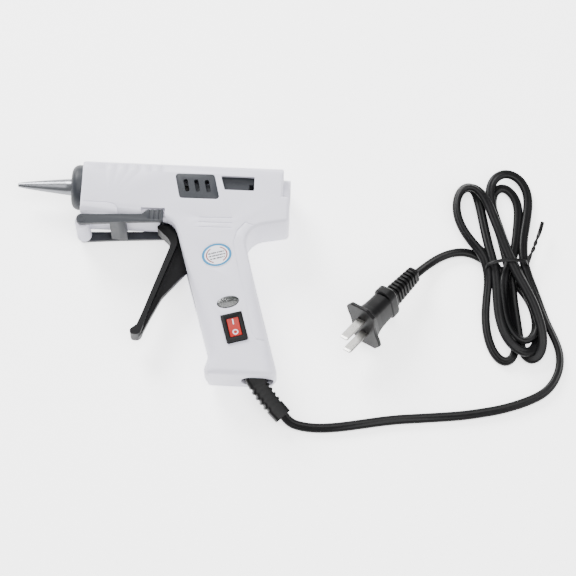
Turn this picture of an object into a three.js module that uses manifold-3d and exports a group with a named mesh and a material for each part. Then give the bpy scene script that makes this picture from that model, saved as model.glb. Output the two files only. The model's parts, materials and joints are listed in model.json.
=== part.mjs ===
// A corded hot-glue gun lying on its right side: two housing halves, a heated chamber with a nozzle, a
// trigger that
// feeds the glue stick, a fold-out stand, a rocker switch, and a flat mains cord tied in a hank.
//
// Gun frame, in millimetres: x runs back along the glue stick's axis from the housing's front face, y
// runs up to
// the barrel's top, and z runs out of the left side from the seam. The last lines move the whole model
// so that the
// origin is under the middle of the gun.
import * as THREE from 'three';
import { mergeVertices } from 'three/addons/utils/BufferGeometryUtils.js';
import Module from 'manifold-3d';

const wasm = await Module();
wasm.setup();

// Housing
const halfWidth = 18;
const wall = 2.4;
const edge = 2.6;
const barrelTop = 14.8;
const belly = -25.6;
const barrelEnd = 136.5;
const bodyEnd = 141.3;
const ringTop = -7;
const overhang = -25;
const topRound = 8;
const notch = { start: 93.5, end: 118, depth: 0.8, slope: 0.9 };
const inletRing = { radius: 10.7, bore: 6.2 };
const fit = 0.15;
const gap = 0.3;

// Handle
const base = -134.5;
const baseHalfWidth = 15;
const taperStart = -40;
const handleFront = 64;
const handleRear = 108.4;
const frontLean = 0.2984;
const rearLean = 0.2869;
const frontFillet = 12;
const rearFillet = 13;
const lip = { height: 13, reach: 5.5 };

// Moulded relief: flutes over the barrel's shoulder and fine grooves in the sides
const flute = { places: [15.7, 23.5, 31.3, 39.1, 46.9, 54.7], radius: 3, depth: 0.8, lean: 24, reach: 12 };
const groove = { width: 0.7, depth: 0.35 };
const grooveLines = [
  [[1, -17.2], [18, -17.2], [22.5, -18.2], [25.2, -20.6], [26, -24.5]],
  [[81.5, -25.4], [103, -25]],
  [[81.5, -28.8], [103, -28.6]],
  [[81.5, -32.2], [103, -32]],
  [[117.5, -29.5], [112.2, -27.8], [106.8, -34.4], [105, -42.7], [110.8, -66.6], [115.3, -82.4], [120.6,
  -106],
    [123.2, -110], [130, -110.3]],
];

// Nozzle, valve and chamber, all round the glue stick's axis
const stickBore = 5.7;
const collar = { radius: 15.5, length: 7.8, round: 5, bore: 6.7, neck: 11.8, neckEnd: 5.5, inner: 9.8 };
const nozzle = { length: 37.1, base: 6.2, tip: 1.5, bore: 0.9, buried: 3.3, thread: 4.05, threadEnd: -16 };
const valve = { ball: 1.6, room: 2.5, seat: 1.2, lift: 1.2, wire: 0.45, turns: 5, coil: 1.75 };
const chamber = { radius: 8.5, front: -3.5, end: 48, stub: 3.9, neck: 7.2, neckStart: 44, duct: 1.2 };
const heater = { start: 14, end: 36, thickness: 2.7, halfWidth: 6, pad: 7.2, drop: 9.5 };
const clamp = { start: 20, end: 30, sheet: 0.8 };
const insulator = { radius: 12, thickness: 2.5, front: 6.2, rear: 40 };
const sleeve = { radius: 9, end: 62 };
const sleeveRing = { start: 45, end: 47.5, thickness: 1 };

// Trigger and feed
const pivot = { x: 68, y: -21, pin: 2, hub: 4.2, boss: 4 };
const arm = { length: 18, lean: 11.5, inner: 9.6, outer: 11.4, halfWidth: 2.5, stud: 1.5 };
const trigger = { halfWidth: 6.5, web: 2.4, neck: 4.5, flange: 3.7 };
const slotSide = 0.8;
const cheek = { inner: 11.7, outer: 13.5, front: 66, low: -7, high: 1 };
const carriage = { front: 89.5, end: 121.5, blockFront: 99.5, blockEnd: 113.5, top: 9.5, middle: 1.4,
  low: -14.5 };
const carriageBore = 6.2;
const jaw = { x: 107, y: -11.5, pin: 1.2, halfWidth: 2, tip: -6.3 };
const coilSpring = { radius: 5, wire: 0.9, turns: 4, start: 5.1, end: 9 };

// Stand
const stand = { x: 1.8, y: -29.9, disc: 3.7, thickness: 3, boss: 5, bossEnd: 13, stud: 2.2,
  studDepth: 5.5 };
const bossRing = { height: 0.3, width: 1.1, pitch: 1.8, count: 7 };
const standArm = { length: 42.5, foot: 12.3, footTop: -20.8, footLow: -29.2 };
const crossbar = { start: 20.5, end: 31.5, low: -31.2, high: -27.3 };

// Side openings
const vent = [[63, 5.8], [67, -11.8], [94, -11.6], [89.5, 6.1]];
const ventPanel = { proud: 0.2, lip: 1.4, lipThickness: 1, corner: 2 };
const ventSlot = { length: 9, width: 2.7, pitch: 7.2, x: 78.3, y: -2.6, lean: 0.24 };
const sideWindow = [[94, 5.6], [97, -4.6], [117, -4.6], [117, 5.6]];

// Switch, lamp and label on the handle's left side
const lean = THREE.MathUtils.degToRad(16.3);
const rocker = { x: 108.7, y: -102.7, width: 8, length: 12.4, tilt: 8, rise: 1.3, dip: 0.7, drop: 3.2 };
const bezel = { width: 14.5, length: 20.5, thickness: 1.8, sink: 0.6, border: 0.5 };
const switchCase = { width: 12.6, length: 18.4, depth: 11, room: 5 };
const terminal = { width: 4.8, thickness: 0.8, length: 6.5, offset: 4.5 };
const lens = { x: 103.6, y: -84.9, width: 15, height: 8, thickness: 3.4, proud: 0.5 };
const lamp = { radius: 2.3, length: 9, depth: 6.5 };
const label = { x: 94.3, y: -52, width: 21, height: 16.8, thickness: 0.4, sink: 0.3 };

// Fasteners
const screw = { shank: 1.4, head: 2.8, headHeight: 1.8, sink: 2.6, boss: 3.2, clearance: 0.2, reach: 9 };
const screwPlaces = [[8, -19.2], [36, -19.4], [130, -18.5], [127.5, 8.6], [97, -66], [99.5, -124.5]];

// Cord
const cord = { width: 6.5, thickness: 4.2 };
const exitHole = { start: 114.5, end: 136.3, halfWidth: 8 };
const relief = { flangeStart: 116.5, flangeEnd: 134, flangeTop: base + 7, flangeLow: base + 2.9,
  halfWidth: 7 };
const boot = { width: 11.6, thickness: 9 };
const clampBar = { x: 120, y: base + 18.5, length: 17, width: 6, thickness: 2.4, screwOffset: 6 };
const wire = 0.95;

const finishes = {
  white: { color: 0xe9e8ee, roughness: 0.42, metalness: 0 },
  slate: { color: 0x5b616b, roughness: 0.5, metalness: 0 },
  black: { color: 0x27272a, roughness: 0.5, metalness: 0 },
  rubber: { color: 0x1f1f22, roughness: 0.7, metalness: 0 },
  red: { color: 0xd63a2c, roughness: 0.35, metalness: 0 },
  zinc: { color: 0xb9bbc0, roughness: 0.25, metalness: 1 },
  aluminium: { color: 0xc4c6c9, roughness: 0.4, metalness: 1 },
  steel: { color: 0x9b9da1, roughness: 0.35, metalness: 1 },
  brass: { color: 0xc9a24a, roughness: 0.35, metalness: 1 },
  silicone: { color: 0xb4472f, roughness: 0.6, metalness: 0 },
  fibre: { color: 0xb99a6c, roughness: 0.8, metalness: 0 },
  ceramic: { color: 0xe6e2d8, roughness: 0.6, metalness: 0 },
  clear: { color: 0x9aa09c, roughness: 0.15, metalness: 0 },
  sticker: { color: 0xf4f4f6, roughness: 0.4, metalness: 0 },
  copperWire: { color: 0x2d4f9e, roughness: 0.5, metalness: 0 },
};

// ---- Shape helpers ----

function solidOf(geometry) {
  const bare = geometry.index ? geometry.toNonIndexed() : geometry.clone();
  bare.deleteAttribute('normal');
  bare.deleteAttribute('uv');
  const merged = mergeVertices(bare, 1e-4);
  const triVerts = new Uint32Array(merged.index.array);
  const vertProperties = merged.attributes.position.array;
  return new wasm.Manifold(new wasm.Mesh({ numProp: 3, vertProperties, triVerts }));
}

function geometryOf(solid) {
  const mesh = solid.getMesh();
  const geometry = new THREE.BufferGeometry();
  geometry.setAttribute('position', new THREE.BufferAttribute(new Float32Array(mesh.vertProperties), 3));
  geometry.setIndex(new THREE.BufferAttribute(new Uint32Array(mesh.triVerts), 1));
  return geometry;
}

// The outline through corners [x, y, radius], listed counter-clockwise, moved inwards by inset.
function outline(corners, inset = 0) {
  const count = corners.length;
  const sides = corners.map(([x, y], i) => {
    const [nextX, nextY] = corners[(i + 1) % count];
    return new THREE.Vector2(nextX - x, nextY - y).normalize();
  });
  const points = [];
  corners.forEach(([x, y, radius = 0], i) => {
    const arriving = sides[(i + count - 1) % count];
    const leaving = sides[i];
    const shift = inset / (1 + arriving.dot(leaving));
    const corner = new THREE.Vector2(x - (arriving.y + leaving.y) * shift,
      y + (arriving.x + leaving.x) * shift);
    const turn = Math.atan2(arriving.cross(leaving), arriving.dot(leaving));
    const bend = radius > 0 ? Math.max(radius - Math.sign(turn) * inset, 0) : 0;
    if (bend < 0.05 || Math.abs(turn) < 0.12) {
      points.push(corner);
      return;
    }
    const steps = Math.max(2, Math.ceil(Math.abs(turn) / 0.4));
    const tangent = bend * Math.tan(Math.abs(turn) / 2);
    const start = corner.clone().addScaledVector(arriving, -tangent);
    const side = new THREE.Vector2(-arriving.y, arriving.x).multiplyScalar(Math.sign(turn) * bend);
    const centre = start.clone().add(side);
    for (let k = 0; k <= steps; k += 1) {
      points.push(start.clone().rotateAround(centre, (turn * k) / steps));
    }
  });
  return withoutStraights(points);
}

// A point in line with its neighbours would be left out of the flat caps, so it is dropped.
function withoutStraights(points) {
  return points.filter((point, i) => {
    const before = points[(i + points.length - 1) % points.length];
    const after = points[(i + 1) % points.length];
    const arriving = point.clone().sub(before);
    const leaving = after.clone().sub(point);
    return Math.abs(arriving.cross(leaving)) > 1e-3;
  });
}

function ellipse(width, height, sides = 24) {
  return Array.from({ length: sides }, (_, i) => {
    const angle = (2 * Math.PI * i) / sides;
    return new THREE.Vector2((width / 2) * Math.cos(angle), (height / 2) * Math.sin(angle));
  });
}

// A flat outline pulled along z from low to high.
function plate(points, low, high) {
  const shape = new THREE.Shape(points);
  return new THREE.ExtrudeGeometry(shape, { depth: high - low, bevelEnabled: false }).translate(0, 0, low);
}

function roundedPlate(points, low, high, round, segments = 2) {
  const settings = { depth: high - low - 2 * round, bevelThickness: round, bevelSize: round };
  settings.bevelOffset = -round;
  settings.bevelSegments = segments;
  return new THREE.ExtrudeGeometry(new THREE.Shape(points), settings).translate(0, 0, low + round);
}

// A section given as corners [z, y, radius], pulled along x.
function bar(corners, start, end, inset = 0) {
  const shape = new THREE.Shape(outline(corners, inset));
  const pulled = new THREE.ExtrudeGeometry(shape, { depth: end - start, bevelEnabled: false });
  return pulled.rotateY(Math.PI / 2).translate(start, 0, 0);
}

function box(x0, x1, y0, y1, z0, z1) {
  const block = new THREE.BoxGeometry(x1 - x0, y1 - y0, z1 - z0);
  return block.translate((x0 + x1) / 2, (y0 + y1) / 2, (z0 + z1) / 2);
}

// A round post along z.
function post(x, y, radius, low, high, sides = 16) {
  const cylinder = new THREE.CylinderGeometry(radius, radius, high - low, sides);
  return cylinder.rotateX(Math.PI / 2).translate(x, y, (low + high) / 2);
}

// A closed profile of [along, radius] turned round the local y axis.
function turned(profile, sides) {
  const points = profile.map(([along, radius]) => new THREE.Vector2(radius, along));
  if (THREE.ShapeUtils.area(points) < 0) points.reverse();
  points.push(points[0].clone());
  return new THREE.LatheGeometry(points, sides);
}

function turnedAlongX(profile, sides = 24) {
  return turned(profile, sides).rotateZ(-Math.PI / 2);
}

function tube(path, section, steps) {
  const settings = { steps, extrudePath: path, bevelEnabled: false };
  return new THREE.ExtrudeGeometry(new THREE.Shape(section), settings);
}

class Coil extends THREE.Curve {
  constructor(radius, turns, start, end) {
    super();
    Object.assign(this, { radius, turns, start, end });
  }

  getPoint(t) {
    const angle = 2 * Math.PI * this.turns * t;
    const height = this.start + (this.end - this.start) * t;
    return new THREE.Vector3(this.radius * Math.cos(angle), this.radius * Math.sin(angle), height);
  }
}

// A route whose flat section lies level all along.
class LevelRoute extends THREE.CatmullRomCurve3 {
  computeFrenetFrames(segments) {
    const frames = { tangents: [], normals: [], binormals: [] };
    for (let i = 0; i <= segments; i += 1) {
      const tangent = this.getTangentAt(i / segments);
      const normal = new THREE.Vector3(0, 0, 1).projectOnPlane(tangent).normalize();
      frames.tangents.push(tangent);
      frames.normals.push(normal);
      frames.binormals.push(tangent.clone().cross(normal));
    }
    return frames;
  }
}

function join(...shapes) {
  return shapes.map(solid).reduce((whole, next) => whole.add(next));
}

function cut(shape, ...tools) {
  return tools.map(solid).reduce((whole, tool) => whole.subtract(tool), solid(shape));
}

function common(...shapes) {
  return shapes.map(solid).reduce((whole, next) => whole.intersect(next));
}

function solid(shape) {
  return shape.isBufferGeometry ? solidOf(shape) : shape;
}

const gun = new THREE.Group();
const cordSet = new THREE.Group();

function addPart(name, shape, finish, parent = gun) {
  const geometry = shape.isBufferGeometry ? shape : geometryOf(shape);
  const mesh = new THREE.Mesh(geometry, new THREE.MeshStandardMaterial(finishes[finish]));
  mesh.name = name;
  parent.add(mesh);
  return mesh;
}

// ---- Places that several pieces share ----

const frontX = (y) => handleFront + (belly - y) * frontLean;
const rearX = (y) => handleRear + (belly - y) * rearLean;
const sideAt = (y) => {
  const share = THREE.MathUtils.clamp((taperStart - y) / (taperStart - base), 0, 1);
  return halfWidth - share * (halfWidth - baseHalfWidth);
};
const onHandle = (geometry, place, z) => geometry.rotateZ(lean).translate(place.x, place.y, z);
const innerSide = halfWidth - wall;

// ---- Housing ----

function sideCorners() {
  const throat = base + lip.height;
  const nook = overhang - 6.1;
  return [
    [0, belly, 3],
    [handleFront, belly, frontFillet],
    [frontX(throat), throat, 14],
    [frontX(throat) - lip.reach, base, 5],
    [rearX(base), base, 4.5],
    [rearX(nook), nook, rearFillet],
    [bodyEnd, overhang, 3],
    [bodyEnd, ringTop, 3],
    [barrelEnd, ringTop],
    [barrelEnd, barrelTop, 3],
    [notch.end + notch.slope, barrelTop],
    [notch.end, barrelTop - notch.depth],
    [notch.start + notch.slope, barrelTop - notch.depth],
    [notch.start, barrelTop],
    [0, barrelTop, 3],
  ];
}

// The housing's section looking along the barrel: a rounded top, a straight barrel and a handle that
// thins down.
function sectionCorners() {
  return [
    [-baseHalfWidth, base, 4],
    [baseHalfWidth, base, 4],
    [halfWidth, taperStart],
    [halfWidth, barrelTop, topRound],
    [-halfWidth, barrelTop, topRound],
    [-halfWidth, taperStart],
  ];
}

// Only the front of the barrel is rounded underneath, where the stand's arms lie beside it.
function bellySection() {
  return [
    [-halfWidth, belly, topRound],
    [halfWidth, belly, topRound],
    [halfWidth, barrelTop + wall],
    [-halfWidth, barrelTop + wall],
  ];
}

function housingBody(inset) {
  const reach = halfWidth - inset;
  const points = outline(sideCorners(), inset);
  const side = inset > 0 ? roundedPlate(points, -reach, reach, 0.5) : roundedPlate(points, -reach, reach,
    edge, 4);
  const whole = common(side, bar(sectionCorners(), -1, bodyEnd + 1, inset));
  const bellyEnd = handleFront - frontFillet * 0.75;
  const front = common(whole, bar(bellySection(), -1, bellyEnd, inset));
  const rear = common(whole, box(bellyEnd, bodyEnd + 1, base - 1, barrelTop + 1, -halfWidth, halfWidth));
  return join(front, rear);
}

// The lever swings into the handle through this slot, as wide as its flange.
function triggerSlot() {
  const wide = trigger.halfWidth + slotSide;
  const top = belly + wall + 1;
  const low = belly - 60;
  const bend = handleFront - frontFillet * 0.85;
  const back = (y) => frontX(y) + wall + 3;
  const opening = [[bend, top], [bend, belly - 8], [frontX(low) - 10, low], [back(low), low], [back(top),
    top]];
  return plate(outline(opening), -wide, wide);
}

function screwBosses(side) {
  return screwPlaces.map(([x, y]) => {
    const low = side > 0 ? 0 : -sideAt(y) + 1;
    const high = side > 0 ? sideAt(y) - 1 : 0;
    return post(x, y, screw.boss, low, high);
  });
}

function pivotBosses(side) {
  const inner = arm.outer + gap;
  const ends = [side * inner, side * (innerSide + 0.5)].sort((a, b) => a - b);
  return [post(pivot.x, pivot.y, pivot.boss, ...ends)];
}

function standBoss(side) {
  const ends = [0, side * stand.bossEnd].sort((a, b) => a - b);
  const web = box(stand.x - 1.8, stand.x + 4, stand.y, belly + 1, ...ends);
  const rings = Array.from({ length: bossRing.count }, (_, i) => {
    const start = bossRing.pitch * (i + 0.15);
    const ringEnds = [side * start, side * (start + bossRing.width)].sort((a, b) => a - b);
    return post(stand.x, stand.y, stand.boss, ...ringEnds, 20);
  });
  return [post(stand.x, stand.y, stand.boss - bossRing.height, ...ends, 20), web, ...rings];
}

// Shallow hollows across the barrel's upper shoulder, and grooves of one depth that follow the sides'
// surface.
function shoulderFlutes(side) {
  const tilt = THREE.MathUtils.degToRad(flute.lean);
  const out = topRound + flute.radius - flute.depth;
  const y = barrelTop - topRound + out * Math.sin(tilt);
  const z = side * (halfWidth - topRound + out * Math.cos(tilt));
  return flute.places.map((x) => {
    const cutter = new THREE.CylinderGeometry(flute.radius, flute.radius, flute.reach, 24);
    return cutter.rotateX(-side * tilt).translate(x, y, z);
  });
}

function sideGrooves(side) {
  const ends = [side * (halfWidth - 5), side * (halfWidth + 1)].sort((a, b) => a - b);
  const pieces = grooveLines.flatMap((line) => line.map(([x, y], i) => {
    const eye = post(x, y, groove.width / 2, ...ends, 8);
    if (i === 0) return eye;
    const [fromX, fromY] = line[i - 1];
    const span = Math.hypot(x - fromX, y - fromY);
    const run = box(-span, 0, -groove.width / 2, groove.width / 2, ...ends);
    return join(eye, run.rotateZ(Math.atan2(y - fromY, x - fromX)).translate(x, y, 0));
  }));
  return cut(join(...pieces), housingBody(groove.depth));
}

function footPocketFloor(side) {
  const ends = [side * (standInner - gap - wall), side * (innerSide + 0.5)].sort((a, b) => a - b);
  const margin = 1 + wall;
  return box(footStart - 2 - margin, footStart + standArm.foot + margin, belly + 1,
    standArm.footTop + margin, ...ends);
}

function footPocket(side) {
  const ends = [side * (standInner - gap), side * (halfWidth + 1)].sort((a, b) => a - b);
  return box(footStart - 3, footStart + standArm.foot + 1, belly - 3, standArm.footTop + 1, ...ends);
}

const standOuter = halfWidth - gap;
const standInner = standOuter - stand.thickness;
const footStart = stand.x + standArm.length;

function ventOutline(inset) {
  return outline(vent.map(([x, y]) => [x, y, ventPanel.corner]), inset);
}

function housingHalf(side) {
  const half = box(-10, bodyEnd + 5, base - 5, barrelTop + 5, ...(side > 0 ? [0,
    halfWidth + 5] : [-halfWidth - 5, 0]));
  const ring = turnedAlongX([[barrelEnd - wall, 0], [barrelEnd - wall, inletRing.radius],
    [bodyEnd - 0.6, inletRing.radius], [bodyEnd, inletRing.radius - 0.6], [bodyEnd, 0]], 32);
  const shell = join(cut(housingBody(0), housingBody(wall)), ring);
  const ribs = [...screwBosses(side), ...pivotBosses(side), footPocketFloor(side)];
  const inside = common(join(...ribs), housingBody(0));
  const halfShell = common(join(shell, inside, ...standBoss(side)), half);
  const holes = [
    turnedAlongX([[-1, 0], [-1, collar.neck + fit], [wall + 1, collar.neck + fit], [wall + 1, 0]], 32),
    turnedAlongX([[carriage.end, 0], [carriage.end, inletRing.bore], [bodyEnd + 1, inletRing.bore],
      [bodyEnd + 1, 0]]),
    triggerSlot(),
    footPocket(side),
    post(pivot.x, pivot.y, pivot.pin + 0.05, -halfWidth + wall, halfWidth - wall),
    post(stand.x, stand.y, stand.stud + 0.08,
      side > 0 ? standInner - stand.studDepth - 1 : -stand.bossEnd - 1,
      side > 0 ? stand.bossEnd + 1 : -standInner + stand.studDepth + 1),
    ...sideOpenings(side),
    exitOpening(),
    ...screwHoles(side),
    ...shoulderFlutes(side),
    sideGrooves(side),
  ];
  if (side > 0) holes.push(...handleFittings());
  return cut(halfShell, ...holes);
}

function sideOpenings(side) {
  const ends = [side * (innerSide - 2), side * (halfWidth + 1)].sort((a, b) => a - b);
  return [plate(ventOutline(-fit), ...ends), plate(outline(sideWindow.map(([x, y]) => [x, y, 0.8])),
    ...ends)];
}

function exitOpening() {
  const oval = outline([[exitHole.start, -exitHole.halfWidth, 7.5], [exitHole.end, -exitHole.halfWidth,
    7.5],
    [exitHole.end, exitHole.halfWidth, 7.5], [exitHole.start, exitHole.halfWidth, 7.5]]);
  return plate(oval, -1, wall + 0.4).rotateX(-Math.PI / 2).translate(0, base, 0);
}

function screwHoles(side) {
  return screwPlaces.flatMap(([x, y]) => {
    if (side > 0) return [post(x, y, screw.shank + 0.05, -1, screw.reach + 1)];
    const seat = -sideAt(y) + screw.sink;
    return [post(x, y, screw.shank + screw.clearance, seat - 1, 1), post(x, y, screw.head + 0.3,
      -halfWidth - 1, seat)];
  });
}

function handleFittings() {
  const seat = sideAt(rocker.y) - bezel.sink;
  const flat = onHandle(box(-bezel.width / 2 - fit, bezel.width / 2 + fit, -bezel.length / 2 - fit,
    bezel.length / 2 + fit, 0, 5), rocker, seat);
  const hole = onHandle(box(-switchCase.width / 2 - fit, switchCase.width / 2 + fit,
    -switchCase.length / 2 - fit,
    switchCase.length / 2 + fit, -8, 5), rocker, seat);
  const lensHole = onHandle(plate(ellipse(lens.width + 2 * fit, lens.height + 2 * fit), -8, 5), lens,
    sideAt(lens.y));
  const labelOval = plate(ellipse(label.width + 2 * fit, label.height + 2 * fit), 0, 3);
  const labelSeat = onHandle(labelOval, label, sideAt(label.y) - label.sink);
  return [flat, hole, lensHole, labelSeat];
}

function addHousing() {
  addPart('left_housing', housingHalf(1), 'white');
  addPart('right_housing', housingHalf(-1), 'white');
}

function addScrews() {
  screwPlaces.forEach(([x, y], i) => {
    const seat = -sideAt(y) + screw.sink;
    const head = post(x, y, screw.head, seat - screw.headHeight, seat, 16);
    const shank = post(x, y, screw.shank, seat - 0.5, screw.reach, 16);
    const drive = box(x - 1.8, x + 1.8, y - 0.4, y + 0.4, seat - screw.headHeight - 1, seat - 0.9);
    const cross = box(x - 0.4, x + 0.4, y - 1.8, y + 1.8, seat - screw.headHeight - 1, seat - 0.9);
    addPart(`housing_screw_${i + 1}`, cut(join(head, shank), drive, cross), 'steel');
  });
}

// ---- Nozzle, valve, chamber and heater ----

function addHotEnd() {
  const front = -collar.length;
  const round = collar.round;
  addPart('front_collar', turnedAlongX([
    [front, collar.bore], [front, collar.radius - round], [front + round * 0.3,
    collar.radius - round * 0.3],
    [front + round, collar.radius], [-0.1, collar.radius], [-0.1, collar.neck], [collar.neckEnd,
    collar.neck],
    [collar.neckEnd, collar.inner], [chamber.front - 1, collar.inner], [chamber.front - 1, collar.bore],
  ], 32), 'slate');

  const tip = front - nozzle.length;
  addPart('nozzle', turnedAlongX([
    [tip, nozzle.bore], [tip, nozzle.tip], [tip + 0.35 * nozzle.length, nozzle.tip + 2],
    [tip + 0.7 * nozzle.length, nozzle.base - 1.1], [front, nozzle.base], [front + nozzle.buried,
    nozzle.base],
    [front + nozzle.buried, nozzle.thread], [nozzle.threadEnd, nozzle.thread], [nozzle.threadEnd,
    valve.room],
    [-28.5, valve.room], [-31, nozzle.bore],
  ], 24), 'zinc');

  const seat = nozzle.threadEnd + 0.8;
  const ballX = seat - Math.sqrt(valve.ball ** 2 - valve.seat ** 2) - 0.05;
  const ball = new THREE.SphereGeometry(valve.ball, 12, 8).translate(ballX, 0, 0);
  addPart('valve_ball', ball, 'steel');
  const springEnd = ballX - valve.ball - valve.lift - 0.4;
  const spring = new Coil(valve.coil, valve.turns, -28, springEnd);
  addPart('valve_spring', tube(spring, ellipse(valve.wire, valve.wire, 5), 60).rotateY(Math.PI / 2),
    'steel');

  const body = turnedAlongX([
    [seat, valve.seat], [seat, chamber.stub], [chamber.front, chamber.stub], [chamber.front,
    chamber.radius],
    [chamber.neckStart, chamber.radius], [chamber.neckStart, chamber.neck], [chamber.end, chamber.neck],
    [chamber.end, stickBore], [12, stickBore], [4, chamber.duct],
  ], 24);
  const pad = cut(box(heater.start - 1, heater.end + 1, -heater.drop, -4, -heater.pad, heater.pad),
    turnedAlongX([[0, 0], [0, 7], [50, 7], [50, 0]]));
  addPart('melt_chamber', join(body, pad), 'aluminium');

  const heaterTop = -heater.drop - 0.1;
  const heaterLow = heaterTop - heater.thickness;
  addPart('heater', box(heater.start, heater.end, heaterLow, heaterTop, -heater.halfWidth,
    heater.halfWidth),
    'ceramic');
  const clampIn = heater.pad + fit;
  const clampOut = clampIn + clamp.sheet;
  const strap = [[-clampOut, heaterLow - fit - clamp.sheet, 1], [clampOut, heaterLow - fit - clamp.sheet,
    1],
    [clampOut, -heater.drop + 4], [clampIn, -heater.drop + 4], [clampIn, heaterLow - fit], [-clampIn,
    heaterLow - fit],
    [-clampIn, -heater.drop + 4], [-clampOut, -heater.drop + 4]];
  addPart('heater_clamp', bar(strap, clamp.start, clamp.end), 'steel');

  for (const [name, start] of [['front_insulator', insulator.front], ['rear_insulator', insulator.rear]]) {
    const end = start + insulator.thickness;
    addPart(name, turnedAlongX([[start, chamber.radius + 0.05], [start, insulator.radius], [end,
      insulator.radius],
      [end, chamber.radius + 0.05]]), 'fibre');
  }

  addPart('inlet_sleeve', turnedAlongX([
    [chamber.neckStart + gap, chamber.neck + 0.05], [chamber.neckStart + gap, sleeve.radius],
    [sleeve.end, sleeve.radius], [sleeve.end, stickBore + 0.8], [sleeve.end - 3, stickBore],
    [chamber.end + gap, stickBore], [chamber.end + gap, chamber.neck + 0.05],
  ]), 'silicone');
  addPart('sleeve_ring', turnedAlongX([
    [sleeveRing.start, sleeve.radius + 0.02], [sleeveRing.start, sleeve.radius + sleeveRing.thickness],
    [sleeveRing.end, sleeve.radius + sleeveRing.thickness], [sleeveRing.end, sleeve.radius + 0.02],
  ]), 'steel');
}

// ---- Feed carriage, jaw and trigger ----

const armTip = {
  x: pivot.x + arm.length * Math.sin(THREE.MathUtils.degToRad(arm.lean)),
  y: pivot.y + arm.length * Math.cos(THREE.MathUtils.degToRad(arm.lean)),
};

function addCarriage() {
  const { outer } = cheek;
  const rail = box(carriage.front, carriage.end, carriage.middle, carriage.top, -outer, outer);
  const block = box(carriage.blockFront, carriage.blockEnd, carriage.low, carriage.middle + 1, -outer,
    outer);
  const cheeks = [-1, 1].map((side) => {
    const ends = [side * cheek.inner, side * cheek.outer].sort((a, b) => a - b);
    const bridge = box(carriage.blockFront - 10, carriage.blockFront + 1, cheek.low, carriage.middle + 1,
      ...ends);
    return join(box(cheek.front, carriage.blockFront + 1, cheek.low, cheek.high, ...ends), bridge);
  });
  const slot = box(armTip.x - arm.stud - 0.1, armTip.x + arm.stud + 0.1, armTip.y - arm.stud - 0.4,
    armTip.y + arm.stud + 0.8, -halfWidth, halfWidth);
  const bore = turnedAlongX([[carriage.front - 1, 0], [carriage.front - 1, carriageBore],
    [carriage.end + 1, carriageBore], [carriage.end + 1, 0]]);
  const jawRoom = box(jaw.x - 9, jaw.x + 4, carriage.low - 1, 0, -jaw.halfWidth - gap, jaw.halfWidth + gap);
  const pinHole = post(jaw.x, jaw.y, jaw.pin + 0.05, -cheek.outer - 1, cheek.outer + 1, 12);
  addPart('feed_carriage', cut(join(rail, block, ...cheeks), slot, bore, jawRoom, pinHole), 'slate');

  const jawShape = outline([
    [jaw.x - 2.2, jaw.y - 2.2, 2], [jaw.x + 2.2, jaw.y - 2.2, 2], [jaw.x + 2.2, jaw.y + 1.8, 1.5],
    [jaw.x - 5.2, jaw.tip], [jaw.x - 7, jaw.tip - 0.4], [jaw.x - 6.2, jaw.y + 1.4, 1]]);
  const jawHole = post(jaw.x, jaw.y, jaw.pin + 0.05, -jaw.halfWidth - 1, jaw.halfWidth + 1, 12);
  addPart('grip_jaw', cut(plate(jawShape, -jaw.halfWidth, jaw.halfWidth), jawHole), 'steel');
  addPart('jaw_pin', post(jaw.x, jaw.y, jaw.pin, -cheek.outer + 0.5, cheek.outer - 0.5, 12), 'steel');
}

function triggerWeb() {
  return outline([
    [pivot.x - 3, pivot.y], [54, belly - 1.8, 2], [51.5, belly - 3.4, 1.5], [60.1, belly - 11.3, 4],
    [62.4, belly - 15.4, 4], [45.9, belly - 66.1], [43, belly - 74], [38.6, belly - 77.6, 1.6],
    [38.8, belly - 80.8, 2], [45.4, belly - 81.8, 5], [51.8, belly - 66.5], [58.2, belly - 52.8, 3],
    [74.8, belly - 32.4, 1.5], [69.8, belly - 16.6], [pivot.x + 3.5, pivot.y],
  ]);
}

// The finger flange follows the lever's front edge, and its top curls forward under the belly.
function triggerFlange() {
  const t = trigger.flange;
  return outline([
    [51.5, belly - 3.4, 1.5], [60.1, belly - 11.3, 4], [62.4, belly - 15.4, 4], [45.9, belly - 66.1],
    [43, belly - 74], [38.6, belly - 77.6, 1.6], [38.8, belly - 80.8, 2], [45.4, belly - 81.8, 4],
    [49.2, belly - 67], [62.4 + t + 0.6, belly - 15.5, 4], [66, belly - 7.5, 5], [60, belly - 2, 4],
    [54, belly - 1.8, 2],
  ]);
}

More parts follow.
